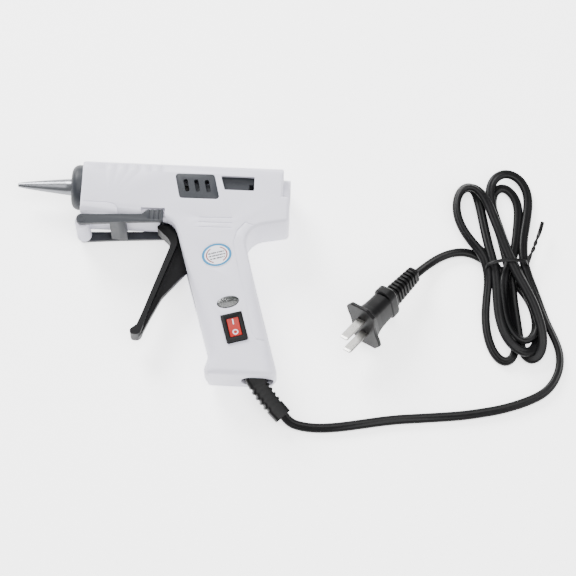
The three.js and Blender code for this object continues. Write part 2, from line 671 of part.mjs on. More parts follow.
function addTrigger() {
  const web = plate(triggerWeb(), -trigger.web, trigger.web);
  const flange = plate(triggerFlange(), -trigger.halfWidth, trigger.halfWidth);
  const neck = plate(outline([[pivot.x - 4, pivot.y], [60.5, belly - 3], [66, belly - 9], [pivot.x + 4,
    belly - 9],
    [pivot.x + 4, pivot.y]]), -trigger.neck, trigger.neck);
  const hub = post(pivot.x, pivot.y, pivot.hub, -arm.outer, arm.outer);
  const prongs = [-1, 1].flatMap((side) => {
    const ends = [side * arm.inner, side * arm.outer].sort((a, b) => a - b);
    const studEnds = [side * arm.inner, side * (cheek.outer - 0.2)].sort((a, b) => a - b);
    const prong = box(-arm.halfWidth, arm.halfWidth, 0, arm.length, ...ends);
    prong.rotateZ(-THREE.MathUtils.degToRad(arm.lean)).translate(pivot.x, pivot.y, 0);
    const eye = post(armTip.x, armTip.y, arm.halfWidth, ...ends);
    return [prong, eye, post(armTip.x, armTip.y, arm.stud, ...studEnds, 12)];
  });
  const bore = post(pivot.x, pivot.y, pivot.pin + 0.05, -halfWidth, halfWidth);
  addPart('trigger', cut(join(web, flange, neck, hub, ...prongs), bore), 'black');
  addPart('trigger_pin', post(pivot.x, pivot.y, pivot.pin, -innerSide + 0.4, innerSide - 0.4), 'steel');

  const coil = new Coil(coilSpring.radius, coilSpring.turns, coilSpring.start, coilSpring.end);
  const spring = tube(coil, ellipse(coilSpring.wire, coilSpring.wire, 6), 56).translate(pivot.x, pivot.y,
    0);
  addPart('trigger_spring', spring, 'steel');
}

// ---- Stand ----

function addStand() {
  const footEnd = footStart + standArm.foot;
  const armShape = outline([
    [stand.x - stand.disc, stand.y - stand.disc, stand.disc * 0.9], [stand.x + 24, crossbar.low, 10],
    [footEnd, standArm.footLow, 1], [footEnd, standArm.footTop, 1], [footStart + 1.5,
    standArm.footTop - 0.5, 2],
    [footStart - 2.5, belly + 1, 3], [stand.x + 6, belly - 0.6, 8], [stand.x - stand.disc,
    stand.y + stand.disc,
      stand.disc * 0.9],
  ]);
  const arms = [-1, 1].flatMap((side) => {
    const ends = [side * standInner, side * standOuter].sort((a, b) => a - b);
    const studEnds = [side * (standInner - stand.studDepth), side * (standInner + 0.5)].sort((a,
      b) => a - b);
    return [plate(armShape, ...ends), post(stand.x, stand.y, stand.stud, ...studEnds)];
  });
  const plateAcross = box(crossbar.start, crossbar.end, crossbar.low, crossbar.high, -standInner - 1,
    standInner + 1);
  const grooves = [0.28, 0.54, 0.8].map((share) => {
    const x = footStart + share * standArm.foot;
    return box(x - 0.5, x + 0.5, standArm.footLow + 1, standArm.footTop + 1, standOuter - 0.5,
      standOuter + 1);
  });
  addPart('stand', cut(join(...arms, plateAcross), ...grooves), 'slate');
}

// ---- Vent panels ----

function addVentPanels() {
  for (const [name, side] of [['vent_panel_left', 1], ['vent_panel_right', -1]]) {
    const face = halfWidth + (side > 0 ? ventPanel.proud : 0);
    const backFace = innerSide - gap;
    const faceEnds = [side * (backFace - 0.5), side * face].sort((a, b) => a - b);
    const backEnds = [side * (backFace - ventPanel.lipThickness), side * backFace].sort((a, b) => a - b);
    const panel = join(plate(ventOutline(0), ...faceEnds), plate(ventOutline(-ventPanel.lip), ...backEnds));
    const slots = [-1, 0, 1].map((step) => {
      const slot = outline([[-1, -1, 1], [1, -1, 1], [1, 1, 1], [-1, 1, 1]].map(([a, b, r]) => [
        (a * ventSlot.width) / 2, (b * ventSlot.length) / 2, r]));
      const tool = plate(slot, -halfWidth - 1, halfWidth + 1).rotateZ(ventSlot.lean);
      return tool.translate(ventSlot.x + step * ventSlot.pitch, ventSlot.y, 0);
    });
    addPart(name, cut(panel, ...slots), 'slate');
  }
}

// ---- Switch, lamp and label ----

function addSwitch() {
  const seat = sideAt(rocker.y) - bezel.sink;
  const room = { width: rocker.width / 2 + 0.4, length: rocker.length / 2 + 0.4 };
  const frame = roundedPlate(outline([[-bezel.width / 2, -bezel.length / 2, 1.2], [bezel.width / 2,
    -bezel.length / 2, 1.2],
    [bezel.width / 2, bezel.length / 2, 1.2], [-bezel.width / 2, bezel.length / 2, 1.2]]), 0,
    bezel.thickness, 0.5);
  const casing = box(-switchCase.width / 2, switchCase.width / 2, -switchCase.length / 2,
    switchCase.length / 2,
    -switchCase.depth, bezel.thickness / 2);
  const well = box(-room.width, room.width, -room.length, room.length, -switchCase.room,
    bezel.thickness + 1);
  const body = geometryOf(cut(join(frame, casing), well));
  addPart('switch_body', onHandle(body, rocker, seat), 'black');

  const half = rocker.length / 2;
  const keyShape = [[-half, bezel.thickness + rocker.rise], [0, bezel.thickness - rocker.dip + 0.6],
    [half, bezel.thickness + rocker.rise], [half - 0.8, -2.4], [2, -rocker.drop], [-2, -rocker.drop],
    [-half + 0.8, -2.4]].reverse();
  const key = plate(outline(keyShape), -rocker.width / 2, rocker.width / 2);
  key.rotateY(Math.PI / 2).rotateX(Math.PI / 2).rotateX(THREE.MathUtils.degToRad(rocker.tilt));
  addPart('switch_rocker', onHandle(key, rocker, seat), 'red');

  [-1, 1].forEach((side, i) => {
    const tab = box(-terminal.width / 2, terminal.width / 2,
      side * terminal.offset - terminal.thickness / 2,
      side * terminal.offset + terminal.thickness / 2, -switchCase.depth - terminal.length - 0.05,
      -switchCase.depth - 0.05);
    addPart(`switch_terminal_${i + 1}`, onHandle(tab, rocker, seat), 'brass');
  });
}

function addLampAndLabel() {
  const lensFace = sideAt(lens.y) + lens.proud;
  const lensShape = roundedPlate(ellipse(lens.width, lens.height), -lens.thickness, 0, 0.6);
  addPart('indicator_lens', onHandle(lensShape, lens, lensFace), 'clear');
  const end = lamp.length / 2;
  const bulb = turned([[-end, 0], [-end, lamp.radius], [end - 1.5, lamp.radius], [end - 0.5,
    lamp.radius * 0.7],
    [end, 0]], 16).rotateZ(Math.PI / 2);
  addPart('indicator_lamp', onHandle(bulb, lens, lensFace - lamp.depth - lamp.radius), 'clear');
  const disc = plate(ellipse(label.width, label.height, 32), 0, label.thickness);
  addPart('rating_label', onHandle(disc, label, sideAt(label.y) - label.sink + 0.02), 'sticker');
}

// ---- Cord inside the handle ----

const reliefEnd = new THREE.Vector3(142.4, base - 19.1, -10);

function addReliefAndWires() {
  const path = new LevelRoute([
    new THREE.Vector3(124.6, relief.flangeLow + 1, 0), new THREE.Vector3(126.6, base - 2.5, -1.6),
    new THREE.Vector3(132.4, base - 9.1, -5), reliefEnd,
  ]);
  const flange = plate(outline([[relief.flangeStart, -relief.halfWidth, 6], [relief.flangeEnd,
    -relief.halfWidth, 6],
    [relief.flangeEnd, relief.halfWidth, 6], [relief.flangeStart, relief.halfWidth, 6]]), 0,
  relief.flangeTop - relief.flangeLow).rotateX(-Math.PI / 2).translate(0, relief.flangeLow, 0);
  const bootTube = tube(path, ellipse(boot.thickness, boot.width, 12), 12);
  addPart('strain_relief', join(flange, bootTube), 'rubber', cordSet);

  const inner = new LevelRoute([
    new THREE.Vector3(125, relief.flangeTop + 1, 0), new THREE.Vector3(123, base + 12.5, -1),
    new THREE.Vector3(120.5, base + 18.5, -1.4), new THREE.Vector3(118.5, base + 25.5, -1.5),
  ]);
  addPart('cord_core', tube(inner, ellipse(cord.width, cord.thickness, 8), 8), 'rubber');

  const barY = clampBar.y;
  const barTop = -cord.width / 2 - 3;
  const barShape = box(-clampBar.length / 2, clampBar.length / 2, -clampBar.width / 2, clampBar.width / 2,
    -clampBar.thickness, 0).rotateZ(lean).translate(clampBar.x, barY, barTop);
  const screws = [-1, 1].map((side) => ({
    x: clampBar.x + side * clampBar.screwOffset * Math.cos(lean),
    y: barY + side * clampBar.screwOffset * Math.sin(lean),
  }));
  const holes = screws.map(({ x, y }) => post(x, y, screw.shank + 0.05, barTop - 5, barTop + 2, 12));
  addPart('cord_clamp', cut(barShape, ...holes), 'fibre');
  screws.forEach(({ x, y }, i) => {
    const head = post(x, y, 2.3, barTop + 0.05, barTop + 1.6, 12);
    const shank = post(x, y, screw.shank, barTop - 3.6, barTop + 0.5, 12);
    addPart(`clamp_screw_${i + 1}`, join(head, shank), 'steel');
  });
}

function addWires() {
  const runs = {
    wire_live: [[117.6, -107, -3], [113, -104, -8], [108, -100, -8.5], [107.4, -98.6, -4.5]],
    wire_switched: [[109.5, -106, -4.6], [104, -108, -9], [98, -96, -10], [90, -70, -10], [84, -44, -9],
      [80, -30, -8], [76.5, -19.5, -6], [68, -13.4, -5], [54, -13.6, -5], [43, -13.6, -4.5], [36.8,
      -11.2, -3.5]],
    wire_neutral: [[116.6, -107.3, 0.5], [110, -99, -4.5], [104, -90, -4], [97, -78, 1], [89, -68, 6.5],
      [86, -54, 9], [83, -42, 9],
      [80, -30, 8], [76.5, -19.5, 6], [68, -13.4, 5], [54, -13.6, 5], [43, -13.6, 4.5], [36.8, -11.2, 3.5]],
  };
  for (const [name, places] of Object.entries(runs)) {
    const path = new THREE.CatmullRomCurve3(places.map((place) => new THREE.Vector3(...place)));
    const steps = Math.ceil(path.getLength() / 6);
    addPart(name, tube(path, ellipse(2 * wire, 2 * wire, 6), steps), 'copperWire');
  }
}

// ---- The free cord, its hank, its tie and its plug ----

// Places on the table are measured from the end of the strain relief, and heights from the table.
const table = -halfWidth;
const fromExit = ([x, y, height]) => new THREE.Vector3(reliefEnd.x + x, reliefEnd.y + y, table + height);
const flat = cord.thickness / 2 + 0.25;

const leadRoute = [
  [0.7, -0.7, 7.6], [4.2, -2.9, 5], [10.9, -5.2, 2.6], [17, -5.9, flat], [30.5, -6.1, flat], [41, -4.8,
  flat],
  [54.2, -2.1, flat], [67.8, 0.5, flat], [79.1, 2.3, flat], [92.4, 3.6, flat], [105.8, 4.9, flat],
  [119.1, 6.5, flat], [132.4, 8.9, flat], [145.7, 12, flat], [159, 16.4, flat], [170.3, 21.8, flat],
  [180.8, 30.5, flat], [185.5, 42.4, flat], [185.5, 51.4, flat], [183.9, 58.4, flat], [181.7, 63.2, flat],
];
const hankCorners = [
  [140, 46, 8], [148, 40.4, 8], [165, 41, 10], [172.6, 52, 8], [174.6, 62.4, 4], [177.9, 63.2], [183.4,
  66.2, 3],
  [177, 80, 8], [164.6, 116, 8], [164.4, 134, 20], [166, 160, 14], [160, 182, 12], [142, 183, 12], [134,
  174, 8],
  [117, 175, 12], [111, 162, 10], [112, 145, 10], [121.9, 128, 6], [121.9, 120, 2], [134, 113, 6],
  [130.6, 82, 20],
  [132, 60, 14],
];
const hank = { height: 14, waist: 115.5, waistWidth: 3.2, groove: 1.4 };
const tailRoute = [
  [121.1, 123.9, flat], [117.4, 124.4, flat], [113, 123.8, flat], [103.9, 120.5, flat], [95, 113.2, 4.8],
  [86.7, 104.7, 8.8],
];

function addCord() {
  const section = ellipse(cord.thickness, cord.width, 8);
  const lead = new LevelRoute(leadRoute.map(fromExit));
  addPart('cord_lead', tube(lead, section, 30), 'rubber', cordSet);

  const whole = plate(outline(hankCorners.map(([x, y, r]) => [reliefEnd.x + x, reliefEnd.y + y, r])), table,
    table + hank.height);
  const waistY = reliefEnd.y + hank.waist;
  const sliceEnds = [waistY - hank.waistWidth / 2, waistY + hank.waistWidth / 2];
  const slice = common(whole, box(0, 500, ...sliceEnds, table - 1, table + 50));
  const [low, high] = [slice.boundingBox().min[0], slice.boundingBox().max[0]];
  const core = box(low + hank.groove, high - hank.groove, sliceEnds[0] - 1, sliceEnds[1] + 1,
    table + hank.groove,
    table + hank.height - hank.groove);
  addPart('cord_hank', join(cut(whole, slice), common(whole, core)), 'rubber', cordSet);

  const band = cut(
    box(low + 0.1, high - 0.1, sliceEnds[0] + gap, sliceEnds[1] - gap, table + 0.1,
      table + hank.height - 0.1),
    box(low + hank.groove - gap, high - hank.groove + gap, sliceEnds[0], sliceEnds[1],
      table + hank.groove - gap,
      table + hank.height - hank.groove + gap),
  );
  const tieEnd = new THREE.CatmullRomCurve3([
    new THREE.Vector3(high - 0.4, waistY, table + 9), new THREE.Vector3(high + 3.4, waistY + 9,
      table + 9.5),
    new THREE.Vector3(high + 6.4, waistY + 20, table + 10), new THREE.Vector3(high + 9, waistY + 29,
      table + 9),
  ]);
  addPart('twist_tie', join(band, tube(tieEnd, ellipse(1, 2, 6), 10)), 'rubber', cordSet);

  const tail = new LevelRoute(tailRoute.map(fromExit));
  addPart('cord_tail', tube(tail, section, 8), 'rubber', cordSet);
}

const plug = {
  place: [51.7, 60, 21.8], heading: -128, pitch: 10.2, roll: -68.3,
  flange: { width: 38, height: 23.4, thickness: 2.6 }, neck: { width: 20.4, height: 15 },
  collar: { width: 21.4, height: 14, start: 23, length: 6.5 }, boot: { width: 13.4, height: 9.6, end: 56 },
};
const blade = { width: 6.4, thickness: 1.5, length: 19, spacing: 12.7, root: 6 };

function addPlug() {
  const holder = new THREE.Group();
  holder.position.copy(fromExit(plug.place));
  const turn = THREE.MathUtils.degToRad;
  holder.rotation.set(turn(plug.roll), -turn(plug.pitch), turn(plug.heading), 'ZYX');
  cordSet.add(holder);

  const section = ({ width, height }) => outline([[-width / 2, -height / 2, height * 0.3],
    [width / 2, -height / 2, height * 0.3], [width / 2, height / 2, height * 0.3],
    [-width / 2, height / 2, height * 0.3]]);
  const pull = (size, start, end) => plate(section(size), start,
    end).rotateZ(Math.PI / 2).rotateY(Math.PI / 2);
  const collarEnd = -plug.collar.start - plug.collar.length;
  const rooms = [-1, 1].map((side) => box(-blade.root - gap, 5,
    (side * blade.spacing) / 2 - blade.thickness / 2 - gap,
    (side * blade.spacing) / 2 + blade.thickness / 2 + gap, -blade.width / 2 - gap, blade.width / 2 + gap));
  const body = join(pull(plug.flange, -plug.flange.thickness, 0), pull(plug.neck, -plug.collar.start, -1),
    pull(plug.collar, collarEnd, -plug.collar.start + 0.5), pull(plug.boot, -plug.boot.end,
      collarEnd + 0.5));
  addPart('plug_body', cut(body, ...rooms), 'rubber', holder);
  [-1, 1].forEach((side, i) => {
    const y = (side * blade.spacing) / 2;
    addPart(`plug_blade_${i + 1}`, box(-blade.root, blade.length, y - blade.thickness / 2,
      y + blade.thickness / 2,
      -blade.width / 2, blade.width / 2), 'steel', holder);
  });
}

addHousing();
addScrews();
addHotEnd();
addCarriage();
addTrigger();
addStand();
addVentPanels();
addSwitch();
addLampAndLabel();
addReliefAndWires();
addWires();
addCord();
addPlug();

// The origin is under the middle of the gun, on the table, and the cord set doesn't count in its box.
const bounds = new THREE.Box3().setFromObject(gun, true);
const middle = bounds.getCenter(new THREE.Vector3());
const glueGun = new THREE.Group();
glueGun.add(gun, cordSet);
gun.position.set(-middle.x, -middle.y, -bounds.min.z);
cordSet.position.copy(gun.position);

export default glueGun;
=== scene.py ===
"""A corded hot-glue gun on its right side, its flat cord laid out, folded in a hank and tied.

Lengths are in millimetres while a piece is shaped, and add_piece() turns them into the frame's metres.
"""

import json
import math

import bmesh
import bpy
from mathutils import Matrix, Vector
from mathutils.bvhtree import BVHTree


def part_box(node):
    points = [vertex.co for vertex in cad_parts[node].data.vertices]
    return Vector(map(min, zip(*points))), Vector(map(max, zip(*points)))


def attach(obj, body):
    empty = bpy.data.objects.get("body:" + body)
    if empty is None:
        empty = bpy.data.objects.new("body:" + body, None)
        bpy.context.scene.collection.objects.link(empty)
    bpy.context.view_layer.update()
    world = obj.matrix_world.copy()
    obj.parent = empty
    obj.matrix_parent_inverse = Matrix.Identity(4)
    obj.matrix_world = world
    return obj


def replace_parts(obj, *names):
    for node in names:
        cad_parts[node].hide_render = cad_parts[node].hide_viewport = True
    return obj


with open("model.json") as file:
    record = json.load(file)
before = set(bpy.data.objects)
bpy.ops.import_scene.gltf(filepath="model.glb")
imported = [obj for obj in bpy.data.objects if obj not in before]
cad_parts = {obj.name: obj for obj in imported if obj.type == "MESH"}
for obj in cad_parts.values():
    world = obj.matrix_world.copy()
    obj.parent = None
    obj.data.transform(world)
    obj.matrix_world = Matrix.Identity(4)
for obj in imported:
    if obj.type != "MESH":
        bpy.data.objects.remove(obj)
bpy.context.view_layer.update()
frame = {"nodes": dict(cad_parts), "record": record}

METRES = 0.001
BARREL = Vector((-48.2, 59.5, 18))
HANDLE_LEAN = math.radians(16.3)


# ---- Camera ----


def make_camera(azimuth, elevation, distance, angle, target):
    """The camera looks at the target from that far away, with no shift."""
    azimuth, elevation = math.radians(azimuth), math.radians(elevation)
    level = math.cos(elevation)
    ahead = Vector((-math.sin(azimuth) * level, math.cos(azimuth) * level, -math.sin(elevation)))
    right = Vector((math.cos(azimuth), math.sin(azimuth), 0))
    turn = Matrix((right, right.cross(ahead), -ahead)).transposed().to_4x4()
    data = bpy.data.cameras.new("camera")
    data.angle = math.radians(angle)
    camera = bpy.data.objects.new("camera", data)
    camera.matrix_world = Matrix.Translation(Vector(target) - ahead * distance) @ turn
    bpy.context.collection.objects.link(camera)
    bpy.context.scene.camera = camera


make_camera(azimuth=2.61, elevation=69.18, distance=1.8, angle=12.31, target=(0.0946, -0.0074, 0.018))


# ---- Shader maths ----


class Socket:
    """An output of a node. Arithmetic on it adds Math nodes."""

    def __init__(self, finish, output):
        self.finish = finish
        self.output = output

    def math(self, operation, first, second=0.0):
        return self.finish.node("Math", {"operation": operation}, {0: first, 1: second})

    def __add__(self, other):
        return self.math("ADD", self, other)

    def __radd__(self, other):
        return self.math("ADD", other, self)

    def __sub__(self, other):
        return self.math("SUBTRACT", self, other)

    def __mul__(self, other):
        return self.math("MULTIPLY", self, other)

    def __abs__(self):
        return self.math("ABSOLUTE", self)

    def below(self, limit):
        """1 where the value is less than the limit, and 0 elsewhere."""
        return self.math("LESS_THAN", self, limit)

    def above(self, limit):
        """1 where the value is more than the limit, and 0 elsewhere."""
        return self.math("GREATER_THAN", self, limit)

    def root(self):
        return self.math("SQRT", self)

    def folded(self, limit):
        """Runs up to the limit and back again, over and over."""
        return self.math("PINGPONG", self, limit)


class Finish:
    """A material under construction."""

    def __init__(self, name):
        self.material = bpy.data.materials.new(name)
        self.material.use_nodes = True
        self.tree = self.material.node_tree
        self.tree.nodes.clear()

    def node(self, kind, settings=None, values=None, output=0):
        """Adds a node. Its settings come first, and then its sockets' values or links."""
        made = self.tree.nodes.new("ShaderNode" + kind)
        for name, setting in (settings or {}).items():
            setattr(made, name, setting)
        for name, value in (values or {}).items():
            if isinstance(value, Socket):
                self.tree.links.new(value.output, made.inputs[name])
            else:
                made.inputs[name].default_value = value
        return Socket(self, made.outputs[output])

    def place(self, centre=(0, 0, 0), turn=0.0):
        """Object coordinates in metres, measured from a centre and turned about Z."""
        coordinates = self.node("TexCoord", output="Object")
        values = {0: coordinates, "Location": centre, "Rotation": (0, 0, turn)}
        return self.node("Mapping", {"vector_type": "TEXTURE"}, values)

    def stretched(self, place, factors):
        """A place with its x, y and z multiplied, so that a pattern on it is drawn out."""
        return self.node("VectorMath", {"operation": "MULTIPLY"}, {0: place, 1: factors})

    def split(self, place):
        """The x, y and z of a place."""
        parts = self.node("SeparateXYZ", values={0: place})
        return [Socket(self, output) for output in parts.output.node.outputs]

    def noise(self, place, scale, detail=3.0):
        return self.node("TexNoise", {}, {"Vector": place, "Scale": scale, "Detail": detail})

    def mixed(self, share, first, second):
        """The first colour where the share is 0, and the second where it is 1."""
        return self.node("Mix", {"data_type": "RGBA"}, {0: share, 6: first, 7: second}, output=2)

    def bumped(self, height, depth, strength):
        return self.node("Bump", {}, {"Height": height, "Distance": depth, "Strength": strength})

    def surface(self, **values):
        """Ends the material in one shader, with sockets named by words joined with _."""
        named = {name.replace("_", " "): value for name, value in values.items()}
        shader = self.node("BsdfPrincipled", {}, named)
        output = self.tree.nodes.new("ShaderNodeOutputMaterial")
        self.tree.links.new(shader.output, output.inputs["Surface"])
        return self.material


# ---- Finishes ----


def moulded(name, colour, shade, roughness, grain=0.00002, pits=2600.0, **values):
    """A moulded plastic: a faint cloud in its colour, a fine grain, and marks in its gloss."""
    finish = Finish(name)
    place = finish.place()
    cloud = finish.noise(place, 38.0, 4.0)
    handled = finish.noise(place, 160.0, 2.0)
    skin = finish.bumped(finish.noise(place, pits, 2.0), grain, 0.6)
    return finish.surface(
        Base_Color=finish.mixed(cloud, colour, shade),
        Roughness=roughness + handled * 0.12 - 0.06,
        Normal=skin,
        **values,
    )


def worked_metal(name, colour, shade, roughness, scratch, across=(1.0, 1.0, 1.0)):
    """A metal with fine marks, stretched along the way it was turned or drawn."""
    finish = Finish(name)
    coordinates = finish.node("TexCoord", output="Object")
    marks = finish.noise(finish.stretched(coordinates, across), scratch, 3.0)
    patches = finish.noise(coordinates, 90.0, 2.0)
    return finish.surface(
        Base_Color=finish.mixed(patches, colour, shade),
        Metallic=1.0,
        Roughness=roughness + marks * 0.16 - 0.08,
        Normal=finish.bumped(marks, 0.00003, 0.5),
    )


def clear_lens():
    """Smoke-grey clear plastic with a fine pattern of cells moulded under its face."""
    finish = Finish("clear_lens")
    place = finish.place(turn=HANDLE_LEAN)
    to_edge = {"feature": "DISTANCE_TO_EDGE"}
    cells = finish.node("TexVoronoi", to_edge, {"Vector": place, "Scale": 620.0})
    ridge = cells.below(0.09)
    return finish.surface(
        Base_Color=finish.mixed(ridge, (0.034, 0.037, 0.036, 1), (0.008, 0.009, 0.009, 1)),
        Roughness=0.16,
        Normal=finish.bumped(cells, 0.0004, 0.7),
        Coat_Weight=0.6,
        Coat_Roughness=0.08,
    )


def printed_sticker(centre, width, height):
    """White film with a blue border, two red arcs and rows of plain short bars."""
    finish = Finish("sticker")
    place = finish.place(centre=centre, turn=HANDLE_LEAN)
    x, y, _ = finish.split(place)
    along = x * (2 / width)
    upright = y * (2 / height)
    spread = (along * along + upright * upright).root()
    border = abs(spread - 0.88).below(0.085)
    arc = abs(spread - 0.66).below(0.04) * abs(along).above(0.3)
    rows = (upright + 10.0).folded(0.12).above(0.065)
    dashes = finish.noise(finish.stretched(place, (1, 0.05, 0)), 1500.0)
    bars = rows * dashes.above(0.45) * spread.below(0.56) * abs(upright).below(0.36)
    white, blue = (0.66, 0.66, 0.70, 1), (0.006, 0.150, 0.310, 1)
    red, black = (0.170, 0.008, 0.006, 1), (0.006, 0.008, 0.012, 1)
    film = finish.mixed(border, white, blue)
    film = finish.mixed(arc, film, red)
    film = finish.mixed(bars, film, black)
    skin = finish.bumped(finish.noise(place, 900.0, 2.0), 0.00002, 0.4)
    return finish.surface(
        Base_Color=film, Roughness=0.34, Normal=skin, Coat_Weight=0.3, Coat_Roughness=0.2
    )


LABEL_WIDTH, LABEL_HEIGHT = 21 * METRES, 16.8 * METRES
label_low, label_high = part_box("rating_label")
label_centre = (label_low + label_high) / 2

FINISHES = {
    "white_shell": moulded("white_shell", (0.600, 0.592, 0.672, 1), (0.566, 0.559, 0.636, 1), 0.40),
    "slate_plastic": moulded(
        "slate_plastic",
        (0.0165, 0.0185, 0.0235, 1),
        (0.0130, 0.0148, 0.0190, 1),
        0.48,
        Specular_IOR_Level=0.3,
    ),
    "black_plastic": moulded(
        "black_plastic",
        (0.0030, 0.0030, 0.0034, 1),
        (0.0020, 0.0020, 0.0023, 1),
        0.46,
        Specular_IOR_Level=0.14,
    ),
    "cord_rubber": moulded(
        "cord_rubber",
        (0.0022, 0.0022, 0.0025, 1),
        (0.0015, 0.0015, 0.0018, 1),
        0.42,
        grain=0.00003,
        Specular_IOR_Level=0.16,
    ),
    "red_key": moulded(
        "red_key",
        (0.290, 0.0065, 0.0020, 1),
        (0.250, 0.0050, 0.0018, 1),
        0.36,
        Specular_IOR_Level=0.25,
    ),
    "zinc": worked_metal(
        "zinc", (0.20, 0.205, 0.22, 1), (0.14, 0.145, 0.155, 1), 0.30, 300.0, across=(6.0, 1.0, 1.0)
    ),
    "aluminium": worked_metal("aluminium", (0.40, 0.40, 0.42, 1), (0.32, 0.32, 0.34, 1), 0.42, 900.0),
    "steel": worked_metal("steel", (0.34, 0.34, 0.36, 1), (0.27, 0.27, 0.29, 1), 0.34, 1200.0),
    "brass": worked_metal("brass", (0.50, 0.32, 0.11, 1), (0.40, 0.25, 0.08, 1), 0.36, 1200.0),
    "silicone": moulded("silicone", (0.12, 0.015, 0.008, 1), (0.10, 0.012, 0.006, 1), 0.60),
    "fibre": moulded(
        "fibre", (0.14, 0.09, 0.045, 1), (0.10, 0.06, 0.03, 1), 0.75, grain=0.00008, pits=700.0
    ),
    "ceramic": moulded(
        "ceramic", (0.40, 0.37, 0.33, 1), (0.34, 0.32, 0.28, 1), 0.62, grain=0.00005, pits=900.0
    ),
    "wire_cover": moulded("wire_cover", (0.008, 0.02, 0.10, 1), (0.006, 0.016, 0.08, 1), 0.45),
    "tin": worked_metal("tin", (0.26, 0.255, 0.24, 1), (0.20, 0.197, 0.19, 1), 0.30, 800.0),
    "clear_lens": clear_lens(),
    "sticker": printed_sticker(label_centre, LABEL_WIDTH, LABEL_HEIGHT),
}


# ---- Making pieces ----


def add_piece(name, shape, slot, body, place=None, sharp=35.0):
    """Turns a shape in millimetres into a piece in metres that rides on a body."""
    into_metres = Matrix.Scale(METRES, 4) @ (place or Matrix())
    bmesh.ops.transform(shape, matrix=into_metres, verts=shape.verts)
    bmesh.ops.remove_doubles(shape, verts=shape.verts, dist=1e-7)
    bmesh.ops.recalc_face_normals(shape, faces=shape.faces)
    mesh = bpy.data.meshes.new(name)
    shape.to_mesh(mesh)
    shape.free()
    return finished(name, mesh, slot, body, sharp)


def finished(name, mesh, slot, body, sharp):
    """A mesh in metres becomes a smooth-shaded piece with its finish."""
    mesh.materials.clear()
    mesh.materials.append(FINISHES[slot])
    mesh.shade_smooth()
    mesh.set_sharp_from_angle(angle=math.radians(sharp))
    piece = bpy.data.objects.new(name, mesh)
    bpy.context.collection.objects.link(piece)
    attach(piece, body)
    return piece


def joined(shape, other):
    """Adds another shape's faces to a shape."""
    loose = bpy.data.meshes.new("loose")
    other.to_mesh(loose)
    other.free()
    shape.from_mesh(loose)
    bpy.data.meshes.remove(loose)
    return shape


def softened(piece, width):
    """Rounds a piece's edges, and shades its flat faces flat."""
    bevel = piece.modifiers.new("rounded edges", "BEVEL")
    bevel.width = width * METRES
    bevel.segments = 2
    bevel.limit_method = "ANGLE"
    bevel.angle_limit = math.radians(32.0)
    bevel.harden_normals = True
    bevel.miter_outer = "MITER_ARC"
    return piece


# ---- The housings' grip, measured from the barrel's axis ----

GRIP_FRONT, GRIP_BACK = 64, 108.4
GRIP_SHOULDER = -25.6
FRONT_SLOPE, BACK_SLOPE = 0.2984, 0.2869
GRIP_CORNER = 9.5
GRIP_TOP, GRIP_FULL = -48, -80
GRIP_THROAT, GRIP_BASE, GRIP_LIP = -121.5, -134.5, 5.5
HALF_THICKNESS, TAPER, TAPER_START = 18, 3, -40

# Planes are cut close together near the corners, so that the rounding has points to move.
CUT_LEAN = Vector((1, 0.2927, 0)).normalized()
CUT_FRONT, CUT_BACK = 62, 108.6
CUTS_IN = (0.5, 2, 4, 6, 8, 10.5)
CUTS_OUT = (5, 7, 9, 11, 13, 14.4)
CUT_HEIGHTS = (-60, -72, -84, -96, -108, -118, -126)
CUT_BELOW = GRIP_TOP + 20


def grip_section(y):
    """The grip's front, its back and half its thickness, at a height below the barrel's axis."""
    front = GRIP_FRONT + (GRIP_SHOULDER - max(y, GRIP_THROAT)) * FRONT_SLOPE
    front -= GRIP_LIP * max(0.0, GRIP_THROAT - y) / (GRIP_THROAT - GRIP_BASE)
    back = GRIP_BACK + (GRIP_SHOULDER - y) * BACK_SLOPE
    taper = min(1.0, max(0.0, (TAPER_START - y) / (TAPER_START - GRIP_BASE)))
    return front, back, HALF_THICKNESS - TAPER * taper


def grip_cuts():
    """Each cut's place and direction: from the front, from the back, from both sides, and across."""
    cuts = [(Vector((CUT_FRONT + step, GRIP_SHOULDER, 0)), CUT_LEAN) for step in CUTS_IN]
    cuts += [(Vector((CUT_BACK - step, GRIP_SHOULDER, 0)), CUT_LEAN) for step in CUTS_IN]
    for side in (-1, 1):
        cuts += [(Vector((0, 0, side * out)), Vector((0, 0, 1))) for out in CUTS_OUT]
    return cuts + [(Vector((0, height, 0)), Vector((0, 1, 0))) for height in CUT_HEIGHTS]


def rounded_grip(shape):
    """Turns the grip's square section into an oval one."""
    highest = (CUT_BELOW + BARREL.y) * METRES
    for place, normal in grip_cuts():
        low = [face for face in shape.faces if face.calc_center_median().y < highest]
        edges = {edge for face in low for edge in face.edges}
        verts = {vert for face in low for vert in face.verts}
        at = (place + BARREL) * METRES
        geometry = [*low, *edges, *verts]
        bmesh.ops.bisect_plane(shape, geom=geometry, dist=1e-6, plane_co=at, plane_no=normal)
    for vert in shape.verts:
        here = vert.co / METRES - BARREL
        share = min(1.0, max(0.0, (GRIP_TOP - here.y) / (GRIP_TOP - GRIP_FULL)))
        front, back, thick = grip_section(here.y)
        half, middle = (back - front) / 2, (back + front) / 2
        corner_x = middle + math.copysign(half - GRIP_CORNER, here.x - middle)
        corner_z = math.copysign(thick - GRIP_CORNER, here.z)
        out_x = (here.x - corner_x) * math.copysign(1, here.x - middle)
        out_z = (here.z - corner_z) * math.copysign(1, here.z)
        out = Vector((out_x, out_z))
        if share > 0 and out.x > 0 and out.y > 0:
            pull = max(out.normalized()) - 1
            here.x += (here.x - corner_x) * pull * share
            here.z += (here.z - corner_z) * pull * share
            vert.co = (here + BARREL) * METRES


